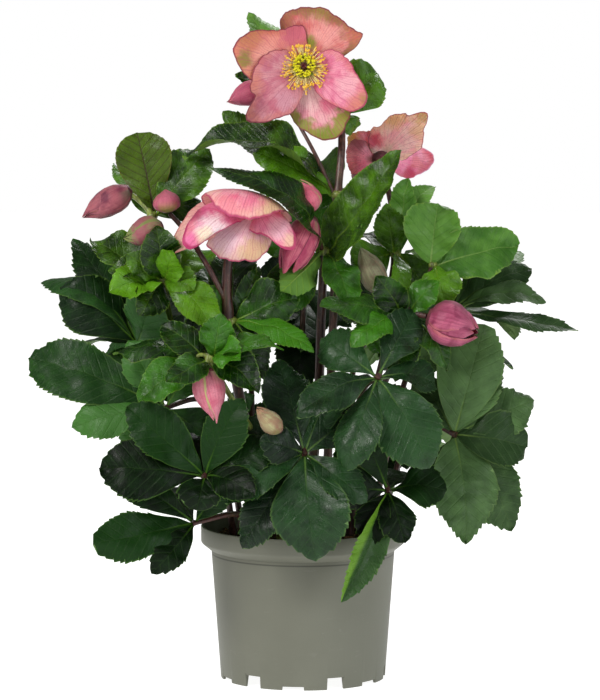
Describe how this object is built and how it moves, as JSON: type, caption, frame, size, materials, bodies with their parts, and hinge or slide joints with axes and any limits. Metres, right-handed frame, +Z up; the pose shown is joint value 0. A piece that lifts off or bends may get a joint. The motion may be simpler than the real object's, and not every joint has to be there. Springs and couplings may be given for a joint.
{
  "type": "potted hellebore plant",
  "caption": "Flowering hellebore in a round plastic grower's pot: nodding and open pink flowers, buds, leafy bracts and dark compound leaves that spread over the rim.",
  "frame": {"origin": "middle of the pot's underside, on the ground", "axes": "+Z up along the pot's axis, -Y towards the side the plant shows best, +X to the right seen from there"},
  "size_m": [0.4, 0.3018, 0.4903],
  "materials": {
    "pot_plastic": "satin",
    "soil": "matte",
    "basal_leaf": "satin",
    "bract": "satin",
    "purple_stem": "satin",
    "green_stem": "satin",
    "petal": "matte",
    "bud": "matte",
    "flower_centre": "matte"
  },
  "bodies": {
    "root": {"grower_pot": "pot_plastic", "potting_soil": "soil", "stem_bracts": "purple_stem", "stem_flower_a": "purple_stem", "stem_flower_b": "purple_stem", "stem_left": "green_stem", "stem_low": "green_stem", "stem_right": "purple_stem", "flower_a_centre": "flower_centre", "flower_a_petal_bottom": "petal", "flower_a_petal_left": "petal", "flower_a_petal_lower_left": "petal", "flower_a_petal_right": "petal", "flower_a_petal_top": "petal", "flower_b_centre": "flower_centre", "flower_b_petal_back": "petal", "flower_b_petal_front": "petal", "flower_b_petal_hood": "petal", "flower_b_petal_left": "petal", "flower_b_petal_right": "petal", "flower_c_centre": "flower_centre", "flower_c_petal_bottom": "petal", "flower_c_petal_left": "petal", "flower_c_petal_right": "petal", "flower_c_petal_top": "petal", "flower_c_petal_upper_left": "petal", "bud_behind_a": "bud", "bud_centre_young": "bud", "bud_half_open": "bud", "bud_hanging": "bud", "bud_left_nodding": "bud", "bud_left_young": "bud", "bud_low": "bud", "bud_mottled": "bud", "bud_right": "bud", "bud_upper_left": "bud", "bracts_far_right": "bract", "bracts_left": "bract", "bracts_low": "bract", "bracts_main": "bract", "bracts_mid": "bract", "bracts_right": "bract", "bracts_under_a": "bract", "bracts_under_b": "bract", "bracts_under_c": "bract", "bracts_upper_left": "bract", "leaf_back": "basal_leaf", "leaf_back_left": "basal_leaf", "leaf_back_low_left": "basal_leaf", "leaf_back_low_right": "basal_leaf", "leaf_back_right": "basal_leaf", "leaf_front": "basal_leaf", "leaf_left_high": "basal_leaf", "leaf_left_low": "basal_leaf", "leaf_left_mid": "basal_leaf", "leaf_right_front": "basal_leaf", "leaf_right_high": "basal_leaf", "leaf_right_low": "basal_leaf", "leaf_rim_left": "basal_leaf", "leaf_rim_right": "basal_leaf"}
  },
  "joints": []
}
